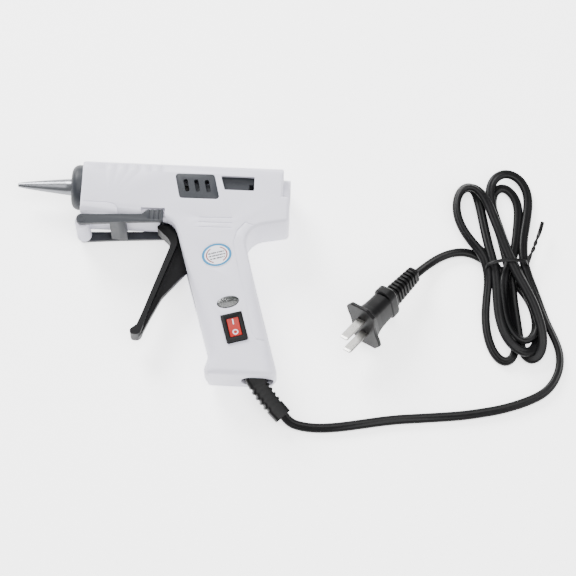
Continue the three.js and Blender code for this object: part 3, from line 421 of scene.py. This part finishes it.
def refined(node, slot, body, width):
    """A copy of a CAD node, with whole faces and rounded edges, that stands for it."""
    shape = bmesh.new()
    shape.from_mesh(frame["nodes"][node].data)
    bmesh.ops.remove_doubles(shape, verts=shape.verts, dist=2e-6)
    flat = math.radians(0.6)
    bmesh.ops.dissolve_limit(shape, angle_limit=flat, verts=shape.verts, edges=shape.edges)
    if node in ("left_housing", "right_housing"):
        rounded_grip(shape)
    mesh = bpy.data.meshes.new(node + "_finished")
    shape.to_mesh(mesh)
    shape.free()
    piece = finished(node + "_finished", mesh, slot, body, sharp=60.0)
    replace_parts(piece, node)
    if width:
        softened(piece, width)


# ---- Making shapes ----


def rounded_face(width, height, radius, segments):
    """One face across the local x axis, width along y and height along z, with round corners."""
    shape = bmesh.new()
    bmesh.ops.create_grid(shape, x_segments=1, y_segments=1, size=0.5)
    bmesh.ops.scale(shape, vec=(width, height, 1), verts=shape.verts)
    bmesh.ops.bevel(
        shape,
        geom=shape.verts[:],
        offset=radius,
        offset_type="OFFSET",
        segments=segments,
        profile=0.5,
        affect="VERTICES",
        material=-1,
    )
    across_x = Matrix(((0, 0, 1), (1, 0, 0), (0, 1, 0)))
    bmesh.ops.rotate(shape, matrix=across_x, verts=shape.verts)
    return shape


def subdivided(shape, longer_than, cuts):
    """Cuts a face's long edges, and joins the faces that this splits it into."""
    edges = [edge for edge in shape.edges if edge.calc_length() > longer_than]
    bmesh.ops.subdivide_edges(shape, edges=edges, cuts=cuts)
    bmesh.ops.dissolve_faces(shape, faces=shape.faces[:], use_verts=False)


def drawn_out(shape, stations):
    """Draws the shape's one face through stations, each a matrix that places and sizes it."""
    shape.faces.ensure_lookup_table()
    face = shape.faces[0]
    bmesh.ops.transform(shape, matrix=stations[0], verts=face.verts)
    for before, after in zip(stations, stations[1:]):
        made = bmesh.ops.extrude_face_region(shape, geom=[face])
        face = next(part for part in made["geom"] if isinstance(part, bmesh.types.BMFace))
        bmesh.ops.transform(shape, matrix=after @ before.inverted(), verts=face.verts)
    return shape


def sizes_along(rows):
    """Stations along x: each row gives the place, and the scale in width and in height."""
    return [
        Matrix.Translation((x, 0, 0)) @ Matrix.Diagonal((1, wide, high, 1)) for x, wide, high in rows
    ]


def turned(profile, steps=72):
    """A closed profile of (along, radius) turned about the x axis."""
    shape = bmesh.new()
    line = [shape.verts.new((along, radius, 0)) for along, radius in profile]
    edges = [shape.edges.new(pair) for pair in zip(line, line[1:] + line[:1])]
    bmesh.ops.spin(
        shape,
        geom=line + edges,
        cent=(0, 0, 0),
        axis=(1, 0, 0),
        dvec=(0, 0, 0),
        angle=2 * math.pi,
        steps=steps,
        use_merge=True,
    )
    bmesh.ops.remove_doubles(shape, verts=shape.verts, dist=1e-4)
    return shape


def arc(centre, radius, start, end, count):
    """Points of a profile on an arc, from one angle to another in degrees."""
    angles = [math.radians(start + (end - start) * i / count) for i in range(count + 1)]
    return [(centre[0] + radius * math.cos(a), centre[1] + radius * math.sin(a)) for a in angles]


def smooth_line(points, steps):
    """A smooth line through (x, y, z, turn) points, with each gap in that many steps."""
    rows = [Vector(point) for point in points]
    rows = [rows[0] * 2 - rows[1], *rows, rows[-1] * 2 - rows[-2]]
    line = []
    for before, here, there, after in zip(rows, rows[1:], rows[2:], rows[3:]):
        for i in range(steps):
            t = i / steps
            bend = before * 2 - here * 5 + there * 4 - after
            swing = here * 3 - before - there * 3 + after
            line.append(here + ((there - before) * t + bend * t**2 + swing * t**3) / 2)
    return [*line, rows[-2]]


def stations_along(line, sizes=None):
    """A station at each point: x ahead, y to the side, z up, and a turn about x.

    The turn in degrees is the point's fourth number.
    """
    stations = []
    for i, here in enumerate(line):
        ahead = (line[min(i + 1, len(line) - 1)] - line[max(i - 1, 0)]).to_3d().normalized()
        side = Vector((0, 0, 1)).cross(ahead).normalized()
        facing = Matrix((ahead, side, ahead.cross(side))).transposed().to_4x4()
        wide, high = sizes[i] if sizes else (1, 1)
        size = Matrix.Diagonal((1, wide, high, 1))
        turn = Matrix.Rotation(math.radians(here.w), 4, "X")
        stations.append(Matrix.Translation(here.to_3d()) @ facing @ turn @ size)
    return stations


# ---- The cord ----

CORD_WIDTH = 6.5
CORD_THICKNESS = 4.2

# From the strain relief to the plug: x, y, height, and the turn in degrees from lying flat.
CORD_ROUTE = [
    (95.1, -93.4, 8.4, 19), (98, -96.3, 6, 28), (101.4, -98.4, 4.4, 30), (105.2, -99.5, 3.5, 33),
    (111.1, -100.4, 3.1, 38), (117.9, -100.7, 3.1, 38), (125.1, -100.3, 3.1, 36),
    (135.2, -98.9, 2.9, 30), (148.4, -96.4, 2.8, 22), (161.7, -93.8, 2.6, 16),
    (173.6, -92, 2.6, 16), (186.6, -90.7, 2.8, 22), (199.9, -89.3, 2.9, 28), (213.3, -87.7, 3, 33),
    (226.6, -85.3, 3.1, 38), (239.9, -82.2, 3.1, 41), (252.9, -77.8, 3.2, 44),
    (263.9, -72.6, 3.2, 47), (270.9, -67.4, 3.2, 48), (275.8, -60.7, 3.2, 50),
    (278.9, -52.3, 3.2, 50), (279.5, -43.8, 3.2, 50), (277.9, -35.9, 3.2, 50),
    (274.6, -28, 3.2, 48), (270.4, -19.1, 3.2, 47), (266.7, -10, 3.2, 41), (262.2, 2, 3.5, 33),
    (257.6, 13.2, 4.4, 25), (254.3, 23.5, 5.5, 16), (253.4, 32.6, 5.4, 11), (253.8, 41.8, 4.2, 8),
    (255, 51.1, 3.3, 8), (256.1, 60.2, 2.8, 8), (256.5, 68.6, 2.9, 11), (255.1, 76.8, 3.4, 14),
    (251, 83.7, 4.4, 14), (245.3, 87.3, 5.5, 14), (239.2, 87.6, 6.2, 14), (233.8, 84.3, 6.5, 11),
    (230.7, 78.4, 6.4, 6), (230.2, 71.1, 6.2, 0), (231.6, 63.1, 6.2, 0), (233.9, 55.5, 6.2, 0),
    (236.9, 46.6, 6.6, 0), (240.3, 36.2, 8, 0), (243.9, 26.5, 9.1, 0), (247.6, 18.9, 9.3, 0),
    (251.8, 10.5, 8.9, 6), (256.3, 1, 8, 16), (260, -8.6, 7, 33), (262.4, -18.1, 6.5, 44),
    (262.4, -25.8, 6.5, 50), (259.8, -31.4, 6.7, 50), (255.5, -33.9, 6.9, 50),
    (250.4, -31.6, 6.9, 50), (245.8, -25.4, 6.7, 50), (242.6, -16.5, 6.7, 50),
    (241, -7.3, 7.3, 44), (240.2, 1.9, 8.8, 28), (240.8, 9.9, 9.1, 11), (242.7, 16.9, 7.6, 0),
    (245.3, 24, 5.8, 0), (247.6, 31.5, 4, 6), (248.8, 40.2, 2.6, 11), (249.5, 49.9, 2.4, 16),
    (249.9, 60.1, 2.5, 19), (248.7, 68, 2.5, 19), (245.7, 74, 2.5, 19), (241.5, 77.8, 2.5, 16),
    (237, 78.2, 2.5, 11), (233.4, 75.1, 2.3, 6), (231.9, 69.4, 2.2, 0), (232.4, 62.5, 2.2, 0),
    (234.4, 55.6, 2.2, 0), (237, 47, 2.2, 0), (239.7, 37.6, 2.2, 0), (242, 28.1, 2.5, 0),
    (243.8, 19.4, 3.6, 8), (245.6, 9.8, 5.1, 22), (246.9, 1.9, 4.6, 38), (247.9, -5.4, 3.7, 48),
    (249.5, -14.9, 3.3, 50), (251.1, -24.7, 3.2, 50), (252.3, -32.4, 3.2, 47), (254, -39, 3.2, 38),
    (256.8, -43.7, 3.5, 28), (260.4, -45.8, 4.1, 14), (264, -44.4, 5, 7), (266.5, -40.3, 6.4, 4),
    (267.3, -34.4, 8.2, 2), (266.5, -27.3, 9.8, 0), (264.3, -19.6, 11.1, 0), (260.6, -9.5, 12, 0),
    (255.5, 0.7, 12.6, 0), (250, 10.5, 12.9, 0), (245.3, 20.3, 12.9, 0), (241.5, 29.1, 12.9, 0),
    (238.2, 37.8, 12.6, 0), (235, 46.4, 12.1, 0), (231.8, 55, 11.3, 0), (228.5, 63.2, 10.7, 6),
    (224.6, 70.1, 10.2, 22), (219.8, 74.6, 9.8, 38), (214.6, 75.4, 9.5, 50),
    (210.1, 72.4, 9.4, 50), (207.6, 66.5, 9.4, 50), (207.2, 59.4, 9.4, 50), (208.8, 51.5, 9.4, 50),
    (212.2, 43.9, 9.4, 50), (216.8, 37.1, 9.4, 44), (221.7, 31, 9.4, 33), (226.1, 24.5, 9.3, 22),
    (228.8, 16.6, 8.9, 33), (229.8, 7, 7.9, 47), (229.2, -3.8, 5.9, 50), (228.8, -14.7, 4.1, 50),
    (229.6, -25.1, 3.4, 50), (231.6, -33.9, 3.2, 50), (234.5, -41, 3.2, 50), (238.4, -46, 3.2, 50),
    (242.6, -48, 3.2, 50), (246.5, -46.3, 3.2, 50), (248.8, -41.7, 3.2, 50),
    (248.9, -34.8, 3.2, 50), (247.3, -25.7, 3.2, 50), (245.2, -15.2, 3.2, 50),
    (243.9, -5.2, 3.4, 50), (242.4, 3.8, 4.1, 33), (239.9, 11.3, 5.4, 11), (235.9, 17.9, 5.7, 0),
    (231.4, 23.7, 5.6, 11), (226.9, 28.9, 4.7, 28), (222.1, 34.3, 3.7, 44), (217.1, 40.1, 3.3, 50),
    (212.5, 46.7, 3.2, 50), (209, 54.2, 3.2, 50), (207.5, 62, 3.2, 50), (207.9, 69, 3.2, 50),
    (210, 74.4, 3.2, 50), (213.4, 77.4, 3.2, 47), (217.1, 77.5, 3.2, 41), (220, 74.6, 3.2, 30),
    (222, 69.3, 3.1, 11), (223.8, 62.1, 3.7, 0), (225.5, 53.5, 4.8, 0), (227.3, 44.1, 6.5, 0),
    (229.5, 34.1, 8.1, 0), (232, 24.3, 9.2, 0), (234.2, 15.3, 9.3, 0), (235.5, 4.7, 9.3, 0),
    (236.3, -6.1, 9.2, 0), (237.6, -16.9, 9.4, 3), (240.2, -26.9, 10, 8), (244.2, -35.2, 10.8, 11),
    (249.6, -40.8, 10.9, 11), (255.4, -42.8, 9.3, 6), (260.2, -40.5, 6.5, 0),
    (263.4, -34.4, 3.9, 0), (264.2, -26.2, 2.4, 0), (263.3, -17.5, 2.2, 0), (260.8, -8.3, 2.2, 0),
    (256.3, 0.4, 2.2, 0), (249.8, 8.1, 2.2, 0), (242.2, 14.4, 2.2, 0), (235.2, 19.4, 2.2, 0),
    (229.3, 23.7, 2.2, 6), (223.9, 26.8, 2.4, 14), (217.8, 29.2, 2.6, 19), (211.2, 29.8, 2.8, 22),
    (204.3, 28.4, 3, 28), (198.3, 25.7, 3.3, 30), (193.4, 22.4, 3.9, 30), (189, 18.6, 5.1, 30),
    (184.6, 14.1, 7.1, 28), (180.6, 9.7, 8.9, 25), (177.8, 6.6, 10, 22),
]


def cord_section():
    """Two cores side by side, with a shallow groove between them on both faces."""
    shape = rounded_face(CORD_WIDTH, CORD_THICKNESS, CORD_THICKNESS / 2 - 0.01, 6)
    subdivided(shape, longer_than=2, cuts=3)
    for vert in shape.verts:
        if abs(vert.co.y) < 0.2:
            vert.co.z *= 0.9
    return shape


def add_cord():
    line = smooth_line(CORD_ROUTE, 3)
    shape = drawn_out(cord_section(), stations_along(line))
    cord = add_piece("cord", shape, "cord_rubber", "gun", sharp=50.0)
    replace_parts(cord, "cord_lead", "cord_hank", "cord_tail")
    return cord, [point.to_3d() * METRES for point in line]


cord, cord_line = add_cord()


# ---- Strain relief, plug and tie ----


RELIEF_SECTION = {"width": 12.6, "height": 9.2, "radius": 2.6, "segments": 4}
RELIEF_ROUTE = [
    (75.6, -69, 19.4, 0),
    (76.6, -73.5, 18.0, 0),
    (79.4, -78.6, 15.6, 0),
    (84.2, -84.1, 12.6, 0),
    (89.4, -89.4, 10.0, 0),
    (95.4, -95.2, 7.8, 0),
]
RELIEF_ROOT, RELIEF_END = 0.3, 0.84
RELIEF_SLOT = 0.84
SLOT_STEPS, SLOT_PITCH = (3, 4, 5), 6


def relief_size(i, share):
    """The boot's width and height at a step: flared at its root, narrowed at each slot."""
    flared = max(0.0, RELIEF_ROOT - share) * 0.9
    slotted = RELIEF_ROOT < share < RELIEF_END and i % SLOT_PITCH in SLOT_STEPS
    width = (1.08 - 0.14 * share + flared) * (RELIEF_SLOT if slotted else 1.0)
    return width, 1.02 - 0.1 * share + flared * 0.6


def add_strain_relief():
    """A tapered boot out of the handle's base, slotted at its sides, with a solid end."""
    line = smooth_line(RELIEF_ROUTE, 12)
    sizes = [relief_size(i, i / (len(line) - 1)) for i in range(len(line))]
    shape = drawn_out(rounded_face(**RELIEF_SECTION), stations_along(line, sizes))
    relief = softened(add_piece("strain_relief_boot", shape, "cord_rubber", "gun", sharp=40.0), 0.3)
    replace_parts(relief, "strain_relief")
    return relief


PLUG = (
    Matrix.Translation((145.9, -34.1, 21.8))
    @ Matrix.Rotation(math.radians(-128), 4, "Z")
    @ Matrix.Rotation(math.radians(-10.2), 4, "Y")
    @ Matrix.Rotation(math.radians(-68.3), 4, "X")
)
FLANGE_WIDTH, FLANGE_HEIGHT, FLANGE_CORNER = 38, 23.4, 5
FLANGE_HOLLOW, FLANGE_HOLLOW_REACH = 1.5, 10
PLUG_GRIP = [
    (-2, 1.36, 1.26),
    (-4, 1.24, 1.14),
    (-7, 1.12, 1.04),
    (-11, 1.03, 0.97),
    (-16, 0.98, 0.94),
    (-22.6, 0.96, 0.92),
]
PLUG_COLLAR = [
    (-23, 1.14, 0.96),
    (-23.6, 1.18, 0.98),
    (-28.6, 1.16, 0.96),
    (-29.5, 1.08, 0.9),
    (-29.8, 0.7, 0.68),
]
PLUG_TAIL = [(-54.2, 0.56, 0.54), (-54.6, 0.58, 0.56), (-56, 0.54, 0.52)]
RIB_COUNT, RIB_START, RIB_PITCH = 8, -30.4, 3
BLADE_WIDTH, BLADE_THICKNESS = 6.4, 1.5
BLADE_SPACING = 12.7


def plug_flange():
    """The face that meets the socket, with cut corners and hollowed long sides."""
    shape = rounded_face(FLANGE_WIDTH, FLANGE_HEIGHT, FLANGE_CORNER, 1)
    subdivided(shape, longer_than=20, cuts=5)
    for vert in shape.verts:
        inward = max(0.0, 1 - (abs(vert.co.y) / FLANGE_HOLLOW_REACH) ** 2)
        if abs(vert.co.z) > FLANGE_HEIGHT / 2 - 0.1:
            vert.co.z -= math.copysign(FLANGE_HOLLOW * inward, vert.co.z)
    edge = 0.985, 0.98
    rows = [(0, *edge), (-0.5, 1, 1), (-2.1, 1, 1), (-2.6, *edge)]
    return drawn_out(shape, sizes_along(rows))


def plug_ribs():
    """The boot's ribs, each a little smaller than the one before it."""
    rows = []
    for i in range(RIB_COUNT):
        start, share = RIB_START - i * RIB_PITCH, 1 - i * 0.028
        root = 0.60 * share, 0.60 * share
        crest = 0.74 * share, 0.72 * share
        rows += [(start, *root), (start - 0.3, *crest), (start - 1.7, *crest), (start - 2.0, *root)]
    return rows


def add_plug_body():
    """Flange, grip, collar and a ribbed boot."""
    rows = PLUG_GRIP + PLUG_COLLAR + plug_ribs() + PLUG_TAIL
    shape = joined(drawn_out(rounded_face(20.2, 15, 4.6, 5), sizes_along(rows)), plug_flange())
    plug = add_piece("plug_moulding", shape, "cord_rubber", "gun", PLUG, sharp=40.0)
    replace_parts(softened(plug, 0.4), "plug_body")
    return plug


def add_plug_blade(name, side):
    """A flat blade with a narrowed tip."""
    rows = sizes_along([(-6, 1, 1), (17.4, 1, 1), (19, 0.6, 0.82)])
    shape = drawn_out(rounded_face(BLADE_THICKNESS, BLADE_WIDTH, 0.2, 1), rows)
    place = PLUG @ Matrix.Translation((0, side * BLADE_SPACING / 2, 0))
    blade = softened(add_piece(name + "_finished", shape, "tin", "gun", place), 0.15)
    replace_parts(blade, name)
    return blade


TIE_BAND = [
    (256.6, 21.0, 8.6, 0),
    (254.6, 20.9, 13.6, 0),
    (247, 20.8, 15.6, 0),
    (237.7, 20.0, 15.4, 0),
    (230, 17.6, 13.8, 0),
    (227.4, 16.6, 8.0, 0),
    (229.4, 17.4, 2.6, 0),
    (236, 19.6, 0.9, 0),
    (248, 20.8, 0.9, 0),
    (254.6, 20.9, 2.2, 0),
    (256.4, 21.0, 6.5, 0),
]
TIE_END = [
    (256.2, 20.6, 8.6, 0),
    (257.6, 25.5, 9.2, 20),
    (259.9, 31.0, 9.8, 160),
    (262.0, 37.5, 10.0, 420),
    (264.3, 44.5, 9.8, 540),
    (266.2, 52.0, 9.2, 560),
]
ALONG_HANK = Vector((-0.13, 0.99, 0)).normalized()


def add_twist_tie():
    """A flat covered wire round the hank's waist, with its twisted end lying along the cord."""
    strip = drawn_out(rounded_face(2.6, 0.9, 0.4, 2), stations_along_band(smooth_line(TIE_BAND, 4)))
    end = drawn_out(rounded_face(2.7, 1.5, 0.6, 2), stations_along(smooth_line(TIE_END, 12)))
    tie = add_piece("twist_tie_finished", joined(strip, end), "cord_rubber", "gun")
    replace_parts(tie, "twist_tie")
    return tie


def stations_along_band(line):
    """Stations round a band that stands upright: the strip's width lies along the cord."""
    stations = []
    for i, here in enumerate(line):
        ahead = (line[min(i + 1, len(line) - 1)] - line[max(i - 1, 0)]).to_3d()
        ahead = (ahead - ALONG_HANK * ahead.dot(ALONG_HANK)).normalized()
        facing = Matrix((ahead, ALONG_HANK, ahead.cross(ALONG_HANK))).transposed().to_4x4()
        stations.append(Matrix.Translation(here.to_3d()) @ facing)
    return stations


relief = add_strain_relief()
plug_pieces = [
    add_plug_body(),
    add_plug_blade("plug_blade_1", -1),
    add_plug_blade("plug_blade_2", 1),
]
tie = add_twist_tie()


# ---- Nozzle and collar ----


NOZZLE_TIP = Matrix.Translation((-93.1, 59.5, 18))
CONE_STEPS = (0, 0.06, 0.14, 0.25, 0.38, 0.52, 0.66, 0.8, 0.9)


def add_nozzle():
    """A turned nozzle: a fine bore, a short flat at the tip, and a gently swollen cone."""
    cone = [(0.6 + 39.8 * t, 1.55 + 4.65 * t**0.82) for t in CONE_STEPS]
    profile = [(0, 0.9), (0, 1.35), *cone, (37.1, 6.2), (40.4, 6.2), (40.4, 0.9)]
    nozzle = add_piece("nozzle_finished", turned(profile), "zinc", "gun", NOZZLE_TIP)
    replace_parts(nozzle, "nozzle")


def add_collar():
    """The insulating collar round the nozzle's root, with a soft front shoulder."""
    shoulder = [(-along, radius) for along, radius in arc((2.8, 10.5), 5, 0, 90, 8)]
    front = [(0.2, 15.5), (-2.8, 15.5), *reversed(shoulder)]
    inside = [(-7.8, 9.6), (-7.1, 8.4), (-6.6, 6.7), (5.5, 6.7), (5.5, 11.8), (0.2, 11.8)]
    place = Matrix.Translation(BARREL)
    collar = add_piece("collar_finished", turned(front + inside), "slate_plastic", "gun", place)
    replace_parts(softened(collar, 0.25), "front_collar")


add_nozzle()
add_collar()


# ---- Marks that lie on a surface ----

ABOVE_ALL = 100


def laid_on(shape, node, place, lift):
    """Drops a flat shape onto a CAD node. Its underside is that far above the surface."""
    bmesh.ops.transform(shape, matrix=place, verts=shape.verts)
    under = bmesh.new()
    under.from_mesh(frame["nodes"][node].data)
    tree = BVHTree.FromBMesh(under)
    under.free()
    for vert in shape.verts:
        start = Vector((vert.co.x, vert.co.y, ABOVE_ALL)) * METRES
        hit = tree.ray_cast(start, Vector((0, 0, -1)))[0]
        if hit is not None:
            vert.co.z += hit.z / METRES + lift
    return shape


def ring_mark(outer, inner, height=0.3):
    """A low flat ring in the xy plane."""
    shape = turned([(0, inner), (height, inner), (height, outer), (0, outer)], steps=48)
    upright = Matrix.Rotation(math.radians(-90), 3, "Y")
    bmesh.ops.rotate(shape, matrix=upright, verts=shape.verts)
    return shape


def bar_mark(width, length, height=0.3):
    """A low flat bar in the xy plane, with its length along y."""
    shape = rounded_face(width, length, 0.3, 2)
    drawn_out(shape, sizes_along([(0, 1, 1), (height, 1, 1)]))
    upright = Matrix(((0, 1, 0), (0, 0, 1), (1, 0, 0)))
    bmesh.ops.rotate(shape, matrix=upright, verts=shape.verts)
    return shape


def add_switch_marks():
    """On at one end of the rocker and off at the other, each sunk a little into it."""
    on_handle = Matrix.Translation((60.5, -43.2, 0)) @ Matrix.Rotation(HANDLE_LEAN, 4, "Z")
    sunk = -0.18
    marks = (
        ("mark_on", bar_mark(0.8, 3.4), Vector((0, 3.4, 0))),
        ("mark_off", ring_mark(1.9, 1.25), Vector((0, -3.6, 0))),
    )
    for name, shape, offset in marks:
        shape = laid_on(shape, "switch_rocker", on_handle @ Matrix.Translation(offset), sunk)
        add_piece(name, shape, "white_shell", "rocker")


def add_pivot_marks():
    """A small raised ring on each side of the stand's pivot."""
    for name, side in (("pivot_mark_left", 1), ("pivot_mark_right", -1)):
        shape = ring_mark(2.3, 1.5, 0.45)
        bmesh.ops.scale(shape, vec=(1, 1, side), verts=shape.verts)
        place = Matrix.Translation((-46.4, 29.6, 18 + side * 17.45))
        add_piece(name, shape, "slate_plastic", "stand", place)


# ---- CAD pieces with finer edges ----

REFINED = {
    "left_housing": ("gun", 0.3),
    "right_housing": ("gun", 0.3),
    "stand": ("stand", 0.5),
    "trigger": ("trigger", 0.6),
    "vent_panel_left": ("gun", 0.3),
    "vent_panel_right": ("gun", 0.3),
    "feed_carriage": ("carriage", 0.3),
    "switch_body": ("gun", 0.25),
    "switch_rocker": ("rocker", 0.3),
    "indicator_lens": ("gun", 0),
    "rating_label": ("gun", 0.08),
}
SLOTS = {part["node"]: part["material_slot"] for part in frame["record"]["subparts"]}

for node, (body, width) in REFINED.items():
    refined(node, SLOTS[node], body, width)
for node, kept in frame["nodes"].items():
    kept.data.materials.clear()
    kept.data.materials.append(FINISHES[SLOTS[node]])
add_switch_marks()
add_pivot_marks()


# ---- Floor and light ----


def add_floor():
    """A wide pale sheet just under the lowest piece."""
    shape = bmesh.new()
    bmesh.ops.create_grid(shape, x_segments=8, y_segments=8, size=6)
    bmesh.ops.translate(shape, vec=(0, 0, -0.0002), verts=shape.verts)
    mesh = bpy.data.meshes.new("floor")
    shape.to_mesh(mesh)
    shape.free()
    finish = Finish("floor")
    paper = finish.noise(finish.place(), 3.0)
    white, off_white = (0.97, 0.97, 0.97, 1), (0.95, 0.95, 0.95, 1)
    mesh.materials.append(
        finish.surface(
            Base_Color=finish.mixed(paper, white, off_white),
            Roughness=0.9,
            Emission_Color=(1, 1, 1, 1),
            Emission_Strength=1.7,
        )
    )
    floor = bpy.data.objects.new("floor", mesh)
    bpy.context.collection.objects.link(floor)


def add_light(name, place, target, size, power):
    """A square white light that faces the target."""
    data = bpy.data.lights.new(name, "AREA")
    data.size = size
    data.energy = power
    light = bpy.data.objects.new(name, data)
    light.location = place
    light.rotation_euler = (Vector(target) - Vector(place)).to_track_quat("-Z", "Y").to_euler()
    bpy.context.collection.objects.link(light)


def add_lights():
    middle = (0.09, 0, 0)
    add_light("key", (-0.9, 1.4, 1.2), middle, size=0.9, power=90)
    add_light("fill", (1.3, -0.7, 1.3), middle, size=1.6, power=26)
    add_light("top", (0.1, -0.3, 2.2), middle, size=1.8, power=60)
    world = bpy.data.worlds.new("studio")
    world.use_nodes = True
    background = world.node_tree.nodes["Background"].inputs
    background["Color"].default_value = (1, 1, 1, 1)
    background["Strength"].default_value = 0.7
    bpy.context.scene.world = world


add_floor()
add_lights()
